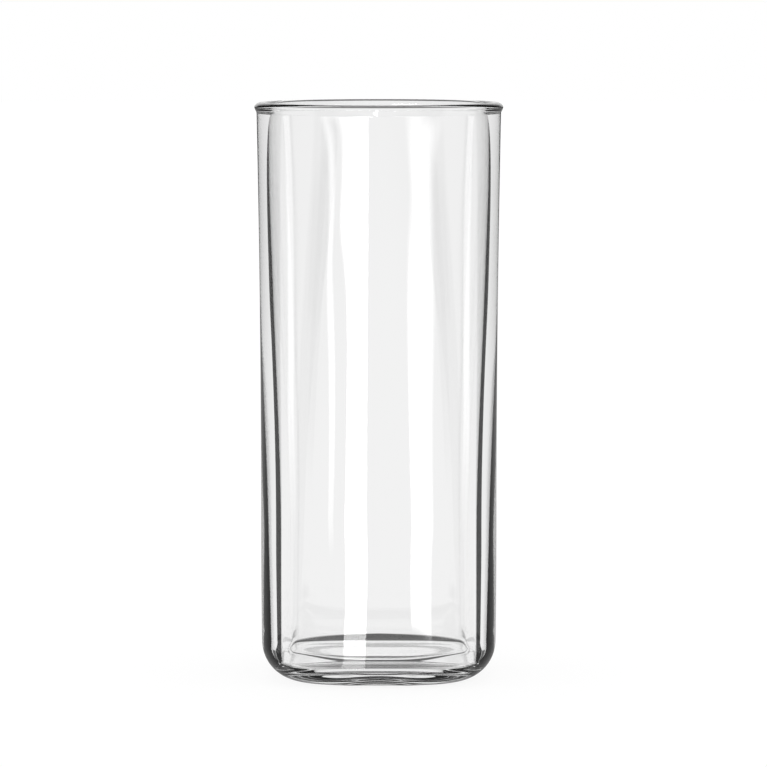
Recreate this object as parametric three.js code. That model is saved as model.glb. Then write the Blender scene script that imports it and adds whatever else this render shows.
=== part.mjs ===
// Cooler glass: a tall tumbler of clear glass, round at the rim and soft-square at the foot.
// It is one piece of glass with a fire-polished bead round its mouth, a thick floor,
// and an underside pushed up in the middle, so that it stands on a flat ring.
// Millimetres, +Z up. The glass stands on z = 0 and its axis is the Z axis.
import * as THREE from "three";

// Outside. A half width is measured from the axis to the middle of a flat.
const HEIGHT = 162;
const BEAD_RADIUS = 35;
const BEAD_HEIGHT = 3;
const NECK_RADIUS = 34.4;
const BODY_HALF_WIDTH = 33.2;
const BODY_UPRIGHT_AT = 45;
const FOOT_HALF_WIDTH = 33;
const HEEL_WIDTH = 8.9;
const HEEL_RISE = 11.2;

// Underside
const STANDING_RING_WIDTH = 3.1;
const PUSH_UP_RISE = 2.2;

// Inside
const UPPER_WALL = 3.56;
const UPPER_WALL_ABOVE = 107.8;
const LOWER_WALL = 4.63;
const LOWER_WALL_BELOW = 37.7;
const FLOOR_HEIGHT = 5;
const FILLET_WIDTH = 4.7;
const FILLET_RISE = 3;

// Powers of the superellipse that each section is: 2 is a circle, and more is squarer.
// A section is round at the neck and gets squarer down to the top of the heel. An ease of 1 is an
// even change, and more keeps it round for longer. Under the heel's top the outside gets rounder again.
const ROUND_POWER = 2;
const BODY_POWER = 4.37;
const BODY_EASE = 1.07;
const RING_POWER = 3.05;
const CAVITY_POWER = 5.17;
const CAVITY_EASE = 1.35;

// Facets
const SEGMENTS = 80;
const PUSH_UP_STEPS = 7;
const HEEL_STEPS = 10;
const OUTER_WALL_STEPS = 12;
const BEAD_STEPS = 4;
const LIP_STEPS = 10;
const INNER_WALL_STEPS = 12;
const FILLET_STEPS = 6;
const FLOOR_STEPS = 4;

const NECK_HEIGHT = HEIGHT - BEAD_HEIGHT;
const RING_OUTER = FOOT_HALF_WIDTH - HEEL_WIDTH;
const RING_INNER = RING_OUTER - STANDING_RING_WIDTH;

// The outside is upright at one level. From there it flares upwards to the neck as one
// parabola and draws in downwards to the heel as another.
function outerHalfWidth(height) {
  const flare = Math.max(0, height - BODY_UPRIGHT_AT) / (NECK_HEIGHT - BODY_UPRIGHT_AT);
  const draw = Math.max(0, BODY_UPRIGHT_AT - height) / (BODY_UPRIGHT_AT - HEEL_RISE);
  const flared = BODY_HALF_WIDTH + (NECK_RADIUS - BODY_HALF_WIDTH) * flare ** 2;
  return flared - (BODY_HALF_WIDTH - FOOT_HALF_WIDTH) * draw ** 2;
}

function innerHalfWidth(height) {
  const thinning = THREE.MathUtils.smoothstep(height, LOWER_WALL_BELOW, UPPER_WALL_ABOVE);
  return outerHalfWidth(height) - THREE.MathUtils.lerp(LOWER_WALL, UPPER_WALL, thinning);
}

// Points of a wall from one height to another, both ends included
function wallPoints(halfWidth, from, to, steps) {
  return Array.from({ length: steps + 1 }, (_, i) => {
    const height = THREE.MathUtils.lerp(from, to, i / steps);
    return new THREE.Vector2(halfWidth(height), height);
  });
}

// An S-curve between two points that leaves and arrives along one direction
function easeCurve(start, end, upright) {
  const middle = start.clone().lerp(end, 0.5);
  const first = upright ? new THREE.Vector2(start.x, middle.y) : new THREE.Vector2(middle.x, start.y);
  const second = upright ? new THREE.Vector2(end.x, middle.y) : new THREE.Vector2(middle.x, end.y);
  return new THREE.CubicBezierCurve(start, first, second, end);
}

// Outside profile, from the axis under the foot up to the crest of the lip's outer side
function outsideProfile(lipRadius) {
  const ringInner = new THREE.Vector2(RING_INNER, 0);
  const pushUp = easeCurve(new THREE.Vector2(0, PUSH_UP_RISE), ringInner, false);
  const heel = new THREE.EllipseCurve(RING_OUTER, HEEL_RISE, HEEL_WIDTH, HEEL_RISE, -Math.PI / 2, 0);
  const neck = new THREE.Vector2(NECK_RADIUS, NECK_HEIGHT);
  const bead = easeCurve(neck, new THREE.Vector2(BEAD_RADIUS, HEIGHT - lipRadius), true);
  return [
    ...pushUp.getPoints(PUSH_UP_STEPS),
    ...heel.getPoints(HEEL_STEPS),
    ...wallPoints(outerHalfWidth, HEEL_RISE, NECK_HEIGHT, OUTER_WALL_STEPS).slice(1),
    ...bead.getPoints(BEAD_STEPS).slice(1),
  ];
}

// Inside profile, from over the lip down to the middle of the floor
function insideProfile(lipRadius) {
  const lip = new THREE.EllipseCurve(BEAD_RADIUS - lipRadius, HEIGHT - lipRadius, lipRadius, lipRadius, 0, Math.PI);
  const filletTop = FLOOR_HEIGHT + FILLET_RISE;
  const filletCentre = innerHalfWidth(filletTop) - FILLET_WIDTH;
  const fillet = new THREE.EllipseCurve(
    filletCentre, filletTop, FILLET_WIDTH, FILLET_RISE, 0, -Math.PI / 2, true,
  );
  const floor = new THREE.LineCurve(
    new THREE.Vector2(filletCentre, FLOOR_HEIGHT), new THREE.Vector2(0, FLOOR_HEIGHT),
  );
  return [
    ...lip.getPoints(LIP_STEPS).slice(1),
    ...wallPoints(innerHalfWidth, NECK_HEIGHT, filletTop, INNER_WALL_STEPS),
    ...fillet.getPoints(FILLET_STEPS).slice(1),
    ...floor.getPoints(FLOOR_STEPS).slice(1),
  ];
}

// Reach of a superellipse in one direction, as a share of its half width
function squareReach(angle, power) {
  const across = Math.abs(Math.cos(angle)) ** power + Math.abs(Math.sin(angle)) ** power;
  return across ** (-1 / power);
}

// How far down a level is: 0 at the neck, 1 at the heel's top and below it
function shareDown(height) {
  return THREE.MathUtils.clamp((NECK_HEIGHT - height) / (NECK_HEIGHT - HEEL_RISE), 0, 1);
}

function outsidePower(height) {
  const body = THREE.MathUtils.lerp(ROUND_POWER, BODY_POWER, shareDown(height) ** BODY_EASE);
  return THREE.MathUtils.lerp(RING_POWER, body, THREE.MathUtils.smoothstep(height, 0, HEEL_RISE));
}

function insidePower(height) {
  return THREE.MathUtils.lerp(ROUND_POWER, CAVITY_POWER, shareDown(height) ** CAVITY_EASE);
}

// The revolved profile is pushed out towards four corners, and less so near the axis.
function glassGeometry() {
  const lipRadius = (BEAD_RADIUS - innerHalfWidth(NECK_HEIGHT)) / 2;
  const outside = outsideProfile(lipRadius);
  const profile = [...outside, ...insideProfile(lipRadius)];
  const geometry = new THREE.LatheGeometry(profile, SEGMENTS);
  geometry.rotateX(Math.PI / 2);
  const position = geometry.getAttribute("position");
  for (let i = 0; i < position.count; i += 1) {
    const [x, y, z] = [position.getX(i), position.getY(i), position.getZ(i)];
    const inside = i % profile.length >= outside.length;
    const wallPower = inside ? insidePower(z) : outsidePower(z);
    const fromAxis = THREE.MathUtils.smoothstep(Math.hypot(x, y), 0, RING_INNER);
    const power = THREE.MathUtils.lerp(ROUND_POWER, wallPower, fromAxis);
    const reach = squareReach(Math.atan2(y, x), power);
    position.setXY(i, x * reach, y * reach);
  }
  geometry.computeVertexNormals();
  return geometry;
}

const glass = new THREE.MeshStandardMaterial({
  color: 0xf4f7f6, roughness: 0.03, metalness: 0, transparent: true, opacity: 0.35,
});

const tumbler = new THREE.Mesh(glassGeometry(), glass);
tumbler.name = "glass_tumbler";

const coolerGlass = new THREE.Group();
coolerGlass.add(tumbler);

export default coolerGlass;
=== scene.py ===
# %% [markdown]
# # A cooler glass
# A tall tumbler of clear glass: a round rim with a fire-polished bead, walls that turn soft-square
# towards the foot, a thick floor, and an underside pushed up in the middle. On the bench it is one piece
# of glass, so this lesson makes one surface, one material, and a plain studio that lets clear glass show.

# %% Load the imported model
import math

import bpy
import numpy as np
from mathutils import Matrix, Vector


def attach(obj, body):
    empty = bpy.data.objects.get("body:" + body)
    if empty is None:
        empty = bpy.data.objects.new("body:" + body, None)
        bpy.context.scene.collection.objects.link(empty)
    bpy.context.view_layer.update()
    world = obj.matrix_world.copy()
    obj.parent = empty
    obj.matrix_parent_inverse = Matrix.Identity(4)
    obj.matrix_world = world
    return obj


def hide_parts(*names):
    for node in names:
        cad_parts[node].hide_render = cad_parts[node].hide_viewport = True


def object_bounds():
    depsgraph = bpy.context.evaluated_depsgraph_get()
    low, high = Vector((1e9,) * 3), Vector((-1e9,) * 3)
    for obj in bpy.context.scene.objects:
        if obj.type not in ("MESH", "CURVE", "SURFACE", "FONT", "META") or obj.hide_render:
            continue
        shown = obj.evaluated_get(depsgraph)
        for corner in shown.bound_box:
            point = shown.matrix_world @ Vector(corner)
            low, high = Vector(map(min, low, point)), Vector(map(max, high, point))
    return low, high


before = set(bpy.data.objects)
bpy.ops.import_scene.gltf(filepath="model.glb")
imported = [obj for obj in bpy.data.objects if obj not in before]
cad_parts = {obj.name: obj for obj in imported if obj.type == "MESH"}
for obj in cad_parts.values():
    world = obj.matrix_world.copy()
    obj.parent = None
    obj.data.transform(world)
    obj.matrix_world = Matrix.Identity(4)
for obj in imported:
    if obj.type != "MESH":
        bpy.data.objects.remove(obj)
cad_low, cad_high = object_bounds()
MM = 0.001
print("packed nodes:", sorted(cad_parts), "height in mm:", round(cad_high[2] / MM, 2))

# %% [markdown]
# ## The walls
# The wall of this glass gets thicker towards the foot. The outside is upright a little over a quarter of the
# way up, flares to the neck, and draws in a little to the heel. The inside follows it at one thickness in
# the upper part and at a greater one in the lower part. Both lines could be drawn by hand as curves.
# Formulas are used here, because clear glass shows the smallest bump. Both are half widths, from the axis
# to the middle of a flat, so the same numbers give the round and the square sections.

# %% Half widths of the outside and the inside, in millimetres
HEIGHT = cad_high[2] / MM
BEAD_RADIUS = cad_high[0] / MM
BEAD_HEIGHT = 3.0
NECK_HEIGHT = HEIGHT - BEAD_HEIGHT
NECK_RADIUS = 34.4
BODY_HALF_WIDTH = 33.2
BODY_UPRIGHT_AT = 45.0
FOOT_HALF_WIDTH = 33.0
HEEL_WIDTH = 8.9
HEEL_RISE = 11.2
UPPER_WALL = 3.56
UPPER_WALL_ABOVE = 107.8
LOWER_WALL = 4.63
LOWER_WALL_BELOW = 37.7


def smoothstep(value, low, high):
    """0 below low, 1 above high, and 3t^2 - 2t^3 between, with t the share of the way."""
    share = np.clip((value - low) / (high - low), 0.0, 1.0)
    return share * share * (3.0 - 2.0 * share)


def outer_half_width(height):
    """Two parabolas that meet upright: one flares up to the neck, one draws in down to the heel."""
    flare = np.maximum(0.0, height - BODY_UPRIGHT_AT) / (NECK_HEIGHT - BODY_UPRIGHT_AT)
    draw = np.maximum(0.0, BODY_UPRIGHT_AT - height) / (BODY_UPRIGHT_AT - HEEL_RISE)
    flared = BODY_HALF_WIDTH + (NECK_RADIUS - BODY_HALF_WIDTH) * flare**2
    return flared - (BODY_HALF_WIDTH - FOOT_HALF_WIDTH) * draw**2


def inner_half_width(height):
    """The outside less the wall, which thins smoothly from the lower to the upper thickness."""
    thinning = smoothstep(height, LOWER_WALL_BELOW, UPPER_WALL_ABOVE)
    return outer_half_width(height) - (LOWER_WALL + (UPPER_WALL - LOWER_WALL) * thinning)


print("inside half width at the neck:", round(float(inner_half_width(NECK_HEIGHT)), 2))
print("inside half width where the body is upright:", round(float(inner_half_width(BODY_UPRIGHT_AT)), 2))

# %% [markdown]
# ## Stretches of a profile
# A glass starts as one line, as it would on a lathe: from under the foot, over the standing ring and the
# heel, up the outside, over the lip, and down the inside to the middle of the floor. Each stretch of it is
# one short formula, sampled finely, because clear glass shows every facet twice, once in each wall.

# %% Formulas for the stretches


def ellipse_arc(centre, radii, start, end, steps):
    """Points of an ellipse at even angles between start and end, in degrees."""
    angle = np.radians(np.linspace(start, end, steps))
    return np.stack([centre[0] + radii[0] * np.cos(angle), centre[1] + radii[1] * np.sin(angle)], 1)


def s_curve(start, end, steps):
    """A cubic Bezier curve that leaves and arrives level, so that it joins without a crease."""
    share = np.linspace(0.0, 1.0, steps)[:, None]
    rest = 1.0 - share
    start, end = np.array(start), np.array(end)
    middle = (start[0] + end[0]) / 2
    first, second = np.array([middle, start[1]]), np.array([middle, end[1]])
    return rest**3 * start + 3 * rest**2 * share * first + 3 * rest * share**2 * second + share**3 * end


def wall(half_width, low, high, steps):
    """A wall whose half width is a formula of height, with its points closer together near both ends."""
    share = (1.0 - np.cos(np.linspace(0.0, np.pi, steps))) / 2
    height = low + (high - low) * share
    return np.stack([half_width(height), height], 1)


print("formulas for stretches:", ellipse_arc.__name__, s_curve.__name__, wall.__name__)

# %% [markdown]
# ## The profile
# The bead comes from holding the rim in a flame: the edge softens, draws into a round lip and swells out a
# little. So the bead grows smoothly out of the wall, and the lip over it is half an ellipse. Under the foot
# the middle is pushed up, so that the glass stands steady on a ring.

# %% The profile of the glass, in millimetres
STANDING_RING_WIDTH = 3.1
PUSH_UP_RISE = 2.2
FLOOR_HEIGHT = 5.0
FILLET_WIDTH = 4.7
FILLET_RISE = 3.0
LIP_RISE = 1.4
BEAD_START = 158.9
RING_OUTER = FOOT_HALF_WIDTH - HEEL_WIDTH
RING_INNER = RING_OUTER - STANDING_RING_WIDTH
FILLET_TOP = FLOOR_HEIGHT + FILLET_RISE
FILLET_CENTRE = float(inner_half_width(FILLET_TOP)) - FILLET_WIDTH
LIP_HALF_WIDTH = (BEAD_RADIUS - float(inner_half_width(NECK_HEIGHT))) / 2
LIP_CENTRE = (BEAD_RADIUS - LIP_HALF_WIDTH, HEIGHT - LIP_RISE)
BEAD_PROUD = BEAD_RADIUS - float(outer_half_width(LIP_CENTRE[1]))


def beaded_half_width(height):
    """The outside with a bead that swells smoothly from the wall to the lip."""
    return outer_half_width(height) + BEAD_PROUD * smoothstep(height, BEAD_START, LIP_CENTRE[1])


# A stretch leaves out a first point that the one before it ends in, and the two points on the axis
outside = np.concatenate([
    s_curve((0.0, PUSH_UP_RISE), (RING_INNER, 0.0), steps=36)[1:],
    np.linspace((RING_INNER, 0.0), (RING_OUTER, 0.0), 6)[1:],
    ellipse_arc((RING_OUTER, HEEL_RISE), (HEEL_WIDTH, HEEL_RISE), -90, 0, steps=36)[1:],
    wall(outer_half_width, HEEL_RISE, BEAD_START, steps=60)[1:],
    wall(beaded_half_width, BEAD_START, LIP_CENTRE[1], steps=16)[1:],
])
inside = np.concatenate([
    ellipse_arc(LIP_CENTRE, (LIP_HALF_WIDTH, LIP_RISE), 0, 180, steps=41)[1:],
    wall(inner_half_width, NECK_HEIGHT, FILLET_TOP, steps=60),
    ellipse_arc((FILLET_CENTRE, FILLET_TOP), (FILLET_WIDTH, FILLET_RISE), 0, -90, steps=24)[1:],
    np.linspace((FILLET_CENTRE, FLOOR_HEIGHT), (0.0, FLOOR_HEIGHT), 20)[1:-1],
])
profile = np.concatenate([outside, inside])
print("profile points:", len(profile), "lip half width:", round(LIP_HALF_WIDTH, 2))

# %% [markdown]
# ## Round rim, soft-square body
# The mould turns the round rim into a soft square. A superellipse does that in one formula: its power is 2
# for a circle and grows downwards. The outside is squarest above the heel and gets rounder again to the
# standing ring. The inside stays round for longer and ends squarer, because a wall that is as thick at its
# corners as on its flats needs a squarer inside. Near the axis the power falls back to 2.

# %% Powers of the sections
ROUND_POWER = 2.0
BODY_POWER = 4.32
RING_POWER = 3.05
CAVITY_POWER = 5.17
CAVITY_EASE = 1.35


def blend(low, high, share):
    """A value between low and high."""
    return low + (high - low) * share


def way_down(height):
    """0 at the neck and 1 at the top of the heel."""
    return np.clip((NECK_HEIGHT - height) / (NECK_HEIGHT - HEEL_RISE), 0.0, 1.0)


def outside_power(half_width, height):
    """2 at the neck, growing evenly to the heel's top, falling to the ring's power, and 2 on the axis."""
    body = blend(ROUND_POWER, BODY_POWER, way_down(height))
    heel = blend(RING_POWER, body, smoothstep(height, 0.0, HEEL_RISE))
    return blend(ROUND_POWER, heel, smoothstep(half_width, 0.0, RING_INNER))


def inside_power(half_width, height):
    """2 at the neck, growing ever faster down to the floor, and 2 on the axis."""
    body = blend(ROUND_POWER, CAVITY_POWER, way_down(height) ** CAVITY_EASE)
    return blend(ROUND_POWER, body, smoothstep(half_width, 0.0, RING_INNER))


for name, power in (("outside", outside_power), ("inside", inside_power)):
    print(name, "power half way up:", round(float(power(BODY_HALF_WIDTH, HEIGHT / 2)), 2))

# %% [markdown]
# ## The surface
# The profile is carried round the axis, and every point moves out by the superellipse's reach in its
# direction. That gives a grid of rings by angles in one go, which is closed by a fan at each pole. A screw
# modifier would give the round glass, but not the change from round to square.

# %% The glass surface on a grid
AROUND = 288


def section_rings(line, power):
    """Half width times the superellipse's reach in each direction, as an array of rings by angles."""
    power = power(line[:, 0], line[:, 1])[:, None]
    angle = np.linspace(0.0, 2 * np.pi, AROUND, endpoint=False)[None, :]
    reach = (np.abs(np.cos(angle)) ** power + np.abs(np.sin(angle)) ** power) ** (-1.0 / power)
    radius = line[:, :1] * reach
    height = np.broadcast_to(line[:, 1:], radius.shape)
    return np.stack([radius * np.cos(angle), radius * np.sin(angle), height], -1)


def grid_faces(rings, around):
    """Quads between neighbouring rings, then a fan of triangles at each pole."""
    ring = np.arange(rings - 1)[:, None] * around
    here = np.arange(around)[None, :]
    after = np.roll(here, -1, axis=1)
    quads = np.stack([ring + here, ring + after, ring + around + after, ring + around + here], -1)
    first, last = rings * around, rings * around + 1
    top = (rings - 1) * around
    low_fan = np.stack([np.full(around, first), after[0], here[0]], -1)
    high_fan = np.stack([np.full(around, last), top + here[0], top + after[0]], -1)
    return quads.reshape(-1, 4).tolist() + low_fan.tolist() + high_fan.tolist()


outside_rings = section_rings(outside, outside_power)
inside_rings = section_rings(inside, inside_power)
poles = np.array([[0.0, 0.0, PUSH_UP_RISE], [0.0, 0.0, FLOOR_HEIGHT]])
points = np.concatenate([outside_rings.reshape(-1, 3), inside_rings.reshape(-1, 3), poles]) * MM
glass_mesh = bpy.data.meshes.new("glass_tumbler_clear")
glass_mesh.from_pydata(points.tolist(), [], grid_faces(len(profile), AROUND))
glass_mesh.polygons.foreach_set("use_smooth", [True] * len(glass_mesh.polygons))
glass_mesh.update()
tumbler = bpy.data.objects.new("glass_tumbler_clear", glass_mesh)
bpy.context.scene.collection.objects.link(tumbler)
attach(tumbler, "root")
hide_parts("glass_tumbler")
print("glass faces:", len(glass_mesh.polygons))

# %% [markdown]
# ## Nodes from code
# A material and a world are trees of nodes. In Blender's window they are wired by hand, one at a time.
# These helpers do the same from code, so that a formula with many nodes stays short enough to read.

# %% Helpers for nodes


def add_node(tree, kind, **settings):
    """A new node of one kind with its properties set."""
    node = tree.nodes.new(kind)
    for name, value in settings.items():
        setattr(node, name, value)
    return node


def math_node(tree, operation, *values):
    """One Math node; numbers are set on its sockets and sockets are linked."""
    node = add_node(tree, "ShaderNodeMath", operation=operation)
    for socket, value in zip(node.inputs, values):
        if isinstance(value, (int, float)):
            socket.default_value = value
        else:
            tree.links.new(value, socket)
    return node.outputs[0]


def times(tree, first, *others):
    """All the values multiplied together."""
    for other in others:
        first = math_node(tree, "MULTIPLY", first, other)
    return first


def ramp(tree, value, span, start, end, kind="SMOOTHSTEP"):
    """A step of a socket: start below a span, end above it, and smooth or straight between."""
    node = add_node(tree, "ShaderNodeMapRange", interpolation_type=kind)
    tree.links.new(value, node.inputs["Value"])
    for name, number in zip(("From Min", "From Max", "To Min", "To Max"), (*span, start, end)):
        node.inputs[name].default_value = number
    return node.outputs[0]


def noise(tree, place, scale, detail):
    """Noise in space, so many waves to the metre."""
    node = add_node(tree, "ShaderNodeTexNoise")
    tree.links.new(place, node.inputs["Vector"])
    node.inputs["Scale"].default_value = scale
    node.inputs["Detail"].default_value = detail
    return node.outputs[0]


print("helpers for nodes:", [helper.__name__ for helper in (add_node, math_node, times, ramp, noise)])

# %% [markdown]
# ## Clear glass
# Colourless soda-lime glass bends light with an index of 1.52. The surface is fire-polished, so it is close
# to a perfect mirror, except on the standing ring, where sliding on tables leaves fine scuffs. A very slow
# wave in the surface, two thousandths of a millimetre deep, keeps it from looking drawn with a ruler. Both
# could be painted on. Noise in space needs no picture and no seam.

# %% Glass material
GLASS_INDEX = 1.52
SCUFF_TOP = 0.3 * MM
SCUFF_ROUGHNESS = 0.16
SCUFFS_PER_METRE = 450.0
SCUFF_DETAIL = 3.0
SCUFF_SPREAD = (0.45, 0.65)
WAVES_PER_METRE = 30.0
WAVE_DETAIL = 0.0
WAVE_DEPTH = 0.002 * MM


def clear_glass():
    """Principled glass: noise times nearness to the ring is its roughness, slow noise is its bump."""
    material = bpy.data.materials.new("clear_glass")
    material.use_nodes = True
    tree = material.node_tree
    shader = tree.nodes["Principled BSDF"]
    shader.inputs["Base Color"].default_value = (1.0, 1.0, 1.0, 1.0)
    shader.inputs["Transmission Weight"].default_value = 1.0
    shader.inputs["IOR"].default_value = GLASS_INDEX
    place = add_node(tree, "ShaderNodeTexCoord").outputs["Object"]
    axes = add_node(tree, "ShaderNodeSeparateXYZ")
    tree.links.new(place, axes.inputs[0])
    scuffs = noise(tree, place, SCUFFS_PER_METRE, SCUFF_DETAIL)
    scuffs = ramp(tree, scuffs, SCUFF_SPREAD, 0.0, SCUFF_ROUGHNESS)
    on_ring = ramp(tree, axes.outputs[2], (0.0, SCUFF_TOP), 1.0, 0.0)
    tree.links.new(times(tree, scuffs, on_ring), shader.inputs["Roughness"])
    waves = add_node(tree, "ShaderNodeBump")
    waves.inputs["Distance"].default_value = WAVE_DEPTH
    tree.links.new(noise(tree, place, WAVES_PER_METRE, WAVE_DETAIL), waves.inputs["Height"])
    tree.links.new(waves.outputs[0], shader.inputs["Normal"])
    return material


glass_mesh.materials.append(clear_glass())
print("glass material on:", tumbler.name)

# %% [markdown]
# ## The studio through the glass
# Clear glass has no colour of its own, so it is drawn by what stands round it. The walls of this studio are
# white, with a dark gap on each side, and bent light that reaches a gap draws the dark lines beside each
# edge. Real walls could be built. Here each part of the studio is a range of directions in the world, in
# degrees of turn and of rise, because a number is easier to move than a wall.

# %% Dark gaps at the sides
QUARTER_TURN = 90.0
GAP_LEAN = (-10.0, 0.0)
GAP_START_LOW = 50.2
GAP_START_HIGH = 39.8
GAP_START_SOFT = (-0.9, 0.9)
GAP_END = (65.5, 70.5)
GAP_DEPTH = 0.98
GAP_FOOT_TURN = (80.0, 100.0)
GAP_FOOT_BEFORE = -8.0
GAP_FOOT_BEHIND = -14.0
GAP_FOOT_SOFT = (-1.0, 1.0)


def directions(tree):
    """Degrees of turn from the photographer, positive to the right, and degrees of rise above level."""
    axes = add_node(tree, "ShaderNodeSeparateXYZ")
    tree.links.new(add_node(tree, "ShaderNodeTexCoord").outputs["Generated"], axes.inputs[0])
    x, y, z = axes.outputs
    flat = math_node(tree, "SQRT", math_node(tree, "ADD", times(tree, x, x), times(tree, y, y)))
    turn = math_node(tree, "DEGREES", math_node(tree, "ARCTAN2", x, times(tree, y, -1.0)))
    rise = math_node(tree, "DEGREES", math_node(tree, "ARCTAN2", z, flat))
    return turn, rise


def side_gap(tree, side, rise):
    """A dark gap on each side, before and behind, whose start leans out lower down, and with a foot."""
    half_turn = math_node(tree, "PINGPONG", side, QUARTER_TURN)
    start = ramp(tree, rise, GAP_LEAN, GAP_START_LOW, GAP_START_HIGH, "LINEAR")
    started = ramp(tree, math_node(tree, "SUBTRACT", half_turn, start), GAP_START_SOFT, 0.0, GAP_DEPTH)
    foot = ramp(tree, side, GAP_FOOT_TURN, GAP_FOOT_BEFORE, GAP_FOOT_BEHIND)
    above_foot = ramp(tree, math_node(tree, "SUBTRACT", rise, foot), GAP_FOOT_SOFT, 0.0, 1.0)
    return times(tree, started, ramp(tree, half_turn, GAP_END, 1.0, 0.0), above_foot)


print("gaps start at a turn of", GAP_START_HIGH, "degrees and lower down at", GAP_START_LOW)

# %% [markdown]
# ## Roof and ground
# Above the walls it is dark, except for low white panels and a paler ceiling, and a stretch of ground
# behind the glass is dark too. These draw the lines in the rim and in the thick base. Black cloth would do
# this in a real studio. Here they are ranges again, and where two overlap the darker one counts.

# %% What the glass shows by bent light
EIGHTH_TURN = 45.0
WHITE_WALL = 0.9
SIDE_PANEL_TURN = (16.0, 26.0)
CORNER_PANEL_TURN = (36.0, 42.0)
PANEL_TOP = (24.0, 30.0)
ROOF_RISE = (0.5, 4.0)
ROOF_SHADE = 0.85
CEILING_RISE = (45.0, 60.0)
CEILING_SHARE = 0.35
GROUND_TOP = (-27.0, -21.0)
GROUND_FOOT = (-60.0, -50.0)
GROUND_TURN = (156.0, 166.0)
GROUND_SHADE = 0.85


def dark_roof(tree, side, rise):
    """Dark above the walls, less the panels towards the sides and the corners, and paler at the ceiling."""
    quarter = math_node(tree, "PINGPONG", side, EIGHTH_TURN)
    to_sides = ramp(tree, quarter, SIDE_PANEL_TURN, 1.0, 0.0)
    to_corners = ramp(tree, quarter, CORNER_PANEL_TURN, 0.0, 1.0)
    panel = math_node(tree, "MAXIMUM", to_sides, to_corners)
    panel = times(tree, panel, ramp(tree, rise, PANEL_TOP, 1.0, 0.0))
    roof = times(tree, ramp(tree, rise, ROOF_RISE, 0.0, ROOF_SHADE), math_node(tree, "SUBTRACT", 1.0, panel))
    return times(tree, roof, ramp(tree, rise, CEILING_RISE, 1.0, CEILING_SHARE))


def dark_ground(tree, side, rise):
    """A dark stretch of ground behind the glass, between two rises."""
    below = ramp(tree, rise, GROUND_TOP, GROUND_SHADE, 0.0)
    above = ramp(tree, rise, GROUND_FOOT, 0.0, 1.0)
    return times(tree, below, above, ramp(tree, side, GROUND_TURN, 0.0, 1.0))


def seen_through(tree, turn, rise):
    """White, less the darkest of the gap, the roof and the ground."""
    side = math_node(tree, "ABSOLUTE", turn)
    over_and_under = math_node(tree, "MAXIMUM", dark_roof(tree, side, rise), dark_ground(tree, side, rise))
    shade = math_node(tree, "MAXIMUM", side_gap(tree, side, rise), over_and_under)
    return times(tree, math_node(tree, "SUBTRACT", 1.0, shade), WHITE_WALL)


print("white walls seen through the glass:", WHITE_WALL)

# %% [markdown]
# ## A tall light
# Tall soft lights stand beside the photographer, and the front of the glass mirrors them as upright
# streaks. It is curved near the rim and nearly flat lower down, so a straight light would spread into a
# fan. Each edge of a light therefore leans in towards the photographer lower down, by an exponential in the
# rise, which keeps its mirror image straight. Lamps could do this too, but such outlines would be hard to
# draw by hand.

# %% Edges of a tall light
STEP_RISE = (-8.0, -2.4)
LIGHT_TOP = (4.2, 5.7)
LIGHT_FOOT = -9.0
HEEL_GROWTH = 0.00053


def light_edge(tree, rise, level, slope, step):
    """The turn where a light ends: e to the power of a level, a slope and a step of the rise.

    Below the lights' foot the slope stops, and a square of the way below it is added.
    """
    kept = math_node(tree, "MAXIMUM", rise, LIGHT_FOOT)
    below = math_node(tree, "SUBTRACT", kept, rise)
    climb = math_node(tree, "MULTIPLY_ADD", kept, slope, level)
    climb = math_node(tree, "ADD", climb, ramp(tree, rise, STEP_RISE, 0.0, step))
    return math_node(tree, "EXPONENT", math_node(tree, "ADD", climb, times(tree, below, below, HEEL_GROWTH)))


def tall_light(tree, side, rise, light):
    """A light between two edges, softened by a share of the turn, that fades out above and low down."""
    near = math_node(tree, "DIVIDE", side, light_edge(tree, rise, *light["near"]))
    far = math_node(tree, "DIVIDE", side, light_edge(tree, rise, *light["far"]))
    soft = (1.0 - light["soft"], 1.0 + light["soft"])
    between = times(tree, ramp(tree, near, soft, 0.0, light["strength"]), ramp(tree, far, soft, 1.0, 0.0))
    between = times(tree, between, ramp(tree, rise, LIGHT_TOP, 1.0, 0.0))
    return times(tree, between, ramp(tree, rise, light["fade"], 0.0, 1.0))


print("tall lights end at a rise of", LIGHT_TOP[1], "degrees")

# %% [markdown]
# ## The streaks
# There is a wide light and a thin one to the left, one to the right, and a slim one further out on both
# sides. The three numbers of each edge could be set by eye. They are matched to the edges of the streaks in
# the photograph, because a tenth of a degree moves a streak.

# %% The tall lights
MAIN_LIGHT = {
    "near": (-1.009, 0.015, 3.704),
    "far": (2.35, 0.154, 1.145),
    "soft": 0.05,
    "fade": (-58.0, -52.0),
    "strength": 11.0,
}
THIN_LIGHT = {
    "near": (2.893, 0.128, 0.696),
    "far": (3.054, 0.115, 0.599),
    "soft": 0.03,
    "fade": (-7.5, -5.5),
    "strength": 4.0,
}
RIGHT_LIGHT = {
    "near": (2.373, 0.175, 1.116),
    "far": (3.183, 0.11, 0.503),
    "soft": 0.08,
    "fade": (-9.55, -9.15),
    "strength": 6.0,
}
SLIM_LIGHT = {
    "near": (3.862, 0.059, 0.445),
    "far": (4.017, 0.049, 0.439),
    "soft": 0.03,
    "fade": (-5.0, -2.5),
    "strength": 3.0,
}
LOW_MAIN_RISE = (-16.0, -10.0)
LOW_MAIN_SHARE = 0.5


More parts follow.
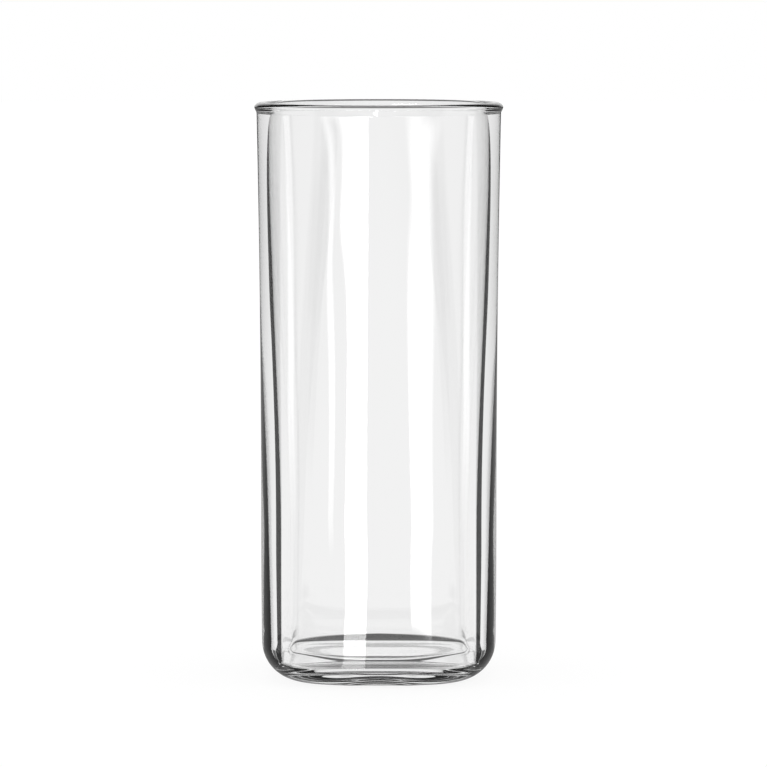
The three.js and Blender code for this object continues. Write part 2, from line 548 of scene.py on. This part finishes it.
def all_lights(tree, turn, side, rise):
    """The wide and the thin light to the left, one to the right, and the slim one on both sides."""
    leftward = math_node(tree, "LESS_THAN", turn, 0.0)
    rightward = math_node(tree, "SUBTRACT", 1.0, leftward)
    main = tall_light(tree, side, rise, MAIN_LIGHT)
    main = times(tree, main, ramp(tree, rise, LOW_MAIN_RISE, LOW_MAIN_SHARE, 1.0))
    left = math_node(tree, "ADD", main, tall_light(tree, side, rise, THIN_LIGHT))
    slim = tall_light(tree, side, rise, SLIM_LIGHT)
    right = math_node(tree, "MULTIPLY_ADD", tall_light(tree, side, rise, RIGHT_LIGHT), rightward, slim)
    return math_node(tree, "MULTIPLY_ADD", left, leftward, right)


for name in ("near", "far"):
    level, _, step = MAIN_LIGHT[name]
    print("main light,", name, "edge at level height, in degrees:", round(math.exp(level + step), 1))

# %% [markdown]
# ## The dim room
# Between the streaks the glass mirrors the room behind the photographer, which is dim. It is dimmer above,
# near the ground and to the sides, so that the outline is drawn dark, where glass mirrors most. The lip is
# seen almost edge on, and it mirrors the white backdrop behind the glass.

# %% What else the glass mirrors
ROOM_RISE = (-5.6, -2.6)
UPPER_ROOM = 0.27
LOWER_ROOM = 0.61
UPPER_SIDE = 0.04
LOWER_SIDE = 0.28
SIDE_TURN = (70.0, 105.0)
NEAR_GROUND_RISE = (-32.0, -24.0)
NEAR_GROUND_SHARE = 0.2
BACKDROP_TURN = (150.0, 170.0)
BACKDROP_FOOT = (0.0, 1.0)
BACKDROP_TOP = (20.0, 30.0)


def dim_room(tree, side, rise):
    """One level towards the photographer and one to the sides, both lower above, or else the backdrop."""
    room = ramp(tree, rise, ROOM_RISE, LOWER_ROOM, UPPER_ROOM)
    room = times(tree, room, ramp(tree, rise, NEAR_GROUND_RISE, NEAR_GROUND_SHARE, 1.0))
    to_side = ramp(tree, side, SIDE_TURN, 0.0, 1.0)
    room = times(tree, room, math_node(tree, "SUBTRACT", 1.0, to_side))
    beside = ramp(tree, rise, ROOM_RISE, LOWER_SIDE, UPPER_SIDE)
    room = math_node(tree, "MULTIPLY_ADD", to_side, beside, room)
    backdrop = ramp(tree, side, BACKDROP_TURN, 0.0, WHITE_WALL)
    backdrop = times(tree, backdrop, ramp(tree, rise, BACKDROP_FOOT, 0.0, 1.0))
    backdrop = times(tree, backdrop, ramp(tree, rise, BACKDROP_TOP, 1.0, 0.0))
    return math_node(tree, "MAXIMUM", room, backdrop)


def mirrored(tree, turn, rise):
    """The tall lights added to the dim room."""
    side = math_node(tree, "ABSOLUTE", turn)
    return math_node(tree, "ADD", all_lights(tree, turn, side, rise), dim_room(tree, side, rise))


print("dim room, upper and lower:", UPPER_ROOM, LOWER_ROOM)

# %% [markdown]
# ## The world
# One world holds it all. It asks what kind of ray has arrived: the camera and the floor get plain white,
# bent light gets the walls, and mirrored light gets the lights and the room. What counts is the last
# surface that the ray met.

# %% The studio world


def studio_world():
    """Plain white for camera and floor, the walls for bent light, lights and room for mirrored light."""
    world = bpy.data.worlds.new("studio")
    bpy.context.scene.world = world
    world.use_nodes = True
    tree = world.node_tree
    turn, rise = directions(tree)
    rays = add_node(tree, "ShaderNodeLightPath").outputs
    bent = rays["Is Transmission Ray"]
    glossy = times(tree, rays["Is Glossy Ray"], math_node(tree, "SUBTRACT", 1.0, bent))
    plain = math_node(tree, "MAXIMUM", rays["Is Camera Ray"], rays["Is Diffuse Ray"])
    through = times(tree, bent, seen_through(tree, turn, rise))
    thrown_back = times(tree, glossy, mirrored(tree, turn, rise))
    total = math_node(tree, "ADD", math_node(tree, "ADD", through, thrown_back), plain)
    background = tree.nodes["Background"]
    tree.links.new(total, background.inputs["Strength"])
    background.inputs["Color"].default_value = (1.0, 1.0, 1.0, 1.0)
    return tree


print("nodes in the world:", len(studio_world().nodes))

# %% [markdown]
# ## The floor
# The floor is plain white paper that shows a faint shadow of the glass. Paper alone would come out grey, so
# it glows a little short of white, and the light that it scatters makes up the rest where no shadow falls.

# %% Floor
FLOOR_SIZE = 12.0
FLOOR_GLOW = 0.9
FLOOR_SCATTER = 0.12


def stage_plane(name, half, height):
    """One square of the stage at a height."""
    mesh = bpy.data.meshes.new(name)
    corners = [(-half, -half, height), (half, -half, height), (half, half, height), (-half, half, height)]
    mesh.from_pydata(corners, [], [(0, 1, 2, 3)])
    plane = bpy.data.objects.new(name, mesh)
    bpy.context.scene.collection.objects.link(plane)
    return plane


def empty_material(name):
    """A material with only an output, and its tree."""
    material = bpy.data.materials.new(name)
    material.use_nodes = True
    tree = material.node_tree
    tree.nodes.clear()
    return material, tree, add_node(tree, "ShaderNodeOutputMaterial").inputs["Surface"]


def studio_floor():
    """A wide floor, scattered light plus a glow, that is left out of what the glass shows."""
    floor = stage_plane("studio_floor", FLOOR_SIZE / 2, 0.0)
    material, tree, surface = empty_material("white_floor")
    paper = add_node(tree, "ShaderNodeBsdfDiffuse")
    paper.inputs["Color"].default_value = (FLOOR_SCATTER, FLOOR_SCATTER, FLOOR_SCATTER, 1.0)
    glow = add_node(tree, "ShaderNodeEmission")
    glow.inputs["Strength"].default_value = FLOOR_GLOW
    both = add_node(tree, "ShaderNodeAddShader")
    tree.links.new(paper.outputs[0], both.inputs[0])
    tree.links.new(glow.outputs[0], both.inputs[1])
    tree.links.new(both.outputs[0], surface)
    floor.data.materials.append(material)
    floor.visible_transmission = False
    floor.visible_glossy = False
    return floor


print("floor:", studio_floor().name)

# %% [markdown]
# ## The painted shade at the foot
# Close to the foot the glass keeps the light off the paper, and the thick base shows that shade. It is
# painted here: a painted shadow dark under and round the foot, and a painted band of light where the base
# gathers light just outside the standing ring. Light that comes down on it at about 45 to 70 degrees
# meets a paler painted shade, so that the base is clear from above. Traced light could find such a shade by
# itself, but with much grain. A formula of the place has none.

# %% Level of the painted shade, with places in millimetres
SHADE_POWER = 4.0
FRONT_TO_BACK = (-2.0, 2.0)
BRIGHT_FROM_BEFORE = 22.3
BRIGHT_FROM_BEHIND = 23.5
BRIGHT_TO_BEFORE = 26.0
BRIGHT_TO_BEHIND = 34.5
BRIGHT_SOFT = (-0.8, 0.8)
SHADE_LEVEL = 0.06
MIDDLE_EDGE = (8.0, 13.0)
MIDDLE_LEVEL = 0.3
STEEP_FACING = (0.2, 0.3)
STRAIGHT_DOWN_FACING = (0.05, 0.1)
STEEP_LEVEL = 0.72


def shade_level(tree, x, y):
    """A painted band of light on painted shade by the superellipse's radius, or the steep level if more."""
    powers = [math_node(tree, "POWER", math_node(tree, "ABSOLUTE", axis), SHADE_POWER) for axis in (x, y)]
    radius = math_node(tree, "POWER", math_node(tree, "ADD", *powers), 1.0 / SHADE_POWER)
    bright_from = ramp(tree, y, FRONT_TO_BACK, BRIGHT_FROM_BEFORE, BRIGHT_FROM_BEHIND)
    bright_to = ramp(tree, y, FRONT_TO_BACK, BRIGHT_TO_BEFORE, BRIGHT_TO_BEHIND)
    enter = ramp(tree, math_node(tree, "SUBTRACT", radius, bright_from), BRIGHT_SOFT, 0.0, 1.0)
    leave = ramp(tree, math_node(tree, "SUBTRACT", radius, bright_to), BRIGHT_SOFT, 1.0, 0.0)
    dim = ramp(tree, radius, MIDDLE_EDGE, MIDDLE_LEVEL, SHADE_LEVEL)
    # The painted band of light is added to the painted shadow
    level = math_node(tree, "MULTIPLY_ADD", times(tree, enter, leave), WHITE_WALL - SHADE_LEVEL, dim)
    facing = add_node(tree, "ShaderNodeLayerWeight").outputs["Facing"]
    # Paler painted shade where bent light meets the patch steeply, as from above
    steep = ramp(tree, facing, STEEP_FACING, STEEP_LEVEL, 0.0)
    steep = times(tree, steep, ramp(tree, facing, STRAIGHT_DOWN_FACING, 0.0, 1.0))
    return math_node(tree, "MAXIMUM", level, steep)


print("levels of the shade, its middle and its bright band:", SHADE_LEVEL, MIDDLE_LEVEL, WHITE_WALL)

# %% [markdown]
# ## The patch under the glass
# The painted shade could be part of the floor. It is a patch of its own, a tenth of a millimetre lower,
# because bent light alone meets it and the camera still sees clean paper. Away from the glass it is clear.

# %% Painted shade at the foot
SHADE_HALF_WIDTH = 75.0 * MM
SHADE_DROP = 0.1 * MM
CLEAR_BEYOND = (60.0, 74.0)


def painted_foot_shade():
    """A glow at the painted shade's level near the foot, clear where the sum of both distances is large."""
    patch = stage_plane("painted_foot_shade", SHADE_HALF_WIDTH, -SHADE_DROP)
    material, tree, surface = empty_material("painted_foot_shade")
    place = add_node(tree, "ShaderNodeSeparateXYZ")
    tree.links.new(add_node(tree, "ShaderNodeTexCoord").outputs["Object"], place.inputs[0])
    x, y = (times(tree, place.outputs[axis], 1.0 / MM) for axis in (0, 1))
    # This emission is no lamp: it is painted shade with a painted band of light
    glow = add_node(tree, "ShaderNodeEmission")
    tree.links.new(shade_level(tree, x, y), glow.inputs["Strength"])
    clear = add_node(tree, "ShaderNodeBsdfTransparent")
    both_ways = math_node(tree, "ADD", math_node(tree, "ABSOLUTE", x), math_node(tree, "ABSOLUTE", y))
    mix = add_node(tree, "ShaderNodeMixShader")
    tree.links.new(ramp(tree, both_ways, CLEAR_BEYOND, 0.0, 1.0), mix.inputs[0])
    tree.links.new(glow.outputs[0], mix.inputs[1])
    tree.links.new(clear.outputs[0], mix.inputs[2])
    tree.links.new(mix.outputs[0], surface)
    patch.data.materials.append(material)
    patch.visible_camera = False
    patch.visible_diffuse = False
    patch.visible_glossy = False
    patch.visible_shadow = False
    return patch


print("shade at the foot:", painted_foot_shade().name)

# %% [markdown]
# ## The camera
# The photograph was taken from a little above the rim, more than a metre away, and tilted down by about five
# degrees. Its numbers were found by fitting the rim and the outline of the glass in the picture.

# %% Camera
CAMERA_DISTANCE = 1.2375
CAMERA_HEIGHT = 0.1953
CAMERA_SIDE = 0.00132
CAMERA_TILT = 5.209
FOCAL_PIXELS = 4390.0
PICTURE_WIDTH = 767
SENSOR_WIDTH = 36.0
FAR_CLIP = 50.0
camera_data = bpy.data.cameras.new("camera")
camera_data.sensor_width = SENSOR_WIDTH
camera_data.lens = FOCAL_PIXELS / PICTURE_WIDTH * SENSOR_WIDTH
camera_data.clip_end = FAR_CLIP
camera = bpy.data.objects.new("camera", camera_data)
camera.location = (CAMERA_SIDE, -CAMERA_DISTANCE, CAMERA_HEIGHT)
camera.rotation_euler = (math.radians(90.0 - CAMERA_TILT), 0.0, 0.0)
bpy.context.scene.collection.objects.link(camera)
bpy.context.scene.camera = camera
print("lens:", round(camera_data.lens, 1), "mm")

# %% [markdown]
# ## Colour and bounces
# Standard keeps white at white. Light goes through two walls with two surfaces each and is thrown about
# inside the thick base, so it needs many bounces. Eight of them may be mirrored ones, which leaves the heel
# grey and its edge dark.

# %% Render colour and depth of bounces
ALL_BOUNCES = 20
MIRRORED_BOUNCES = 8
scene = bpy.context.scene
scene.view_settings.view_transform = "Standard"
scene.cycles.max_bounces = ALL_BOUNCES
scene.cycles.transmission_bounces = ALL_BOUNCES
scene.cycles.glossy_bounces = MIRRORED_BOUNCES
print("bounces, all and mirrored:", ALL_BOUNCES, MIRRORED_BOUNCES)
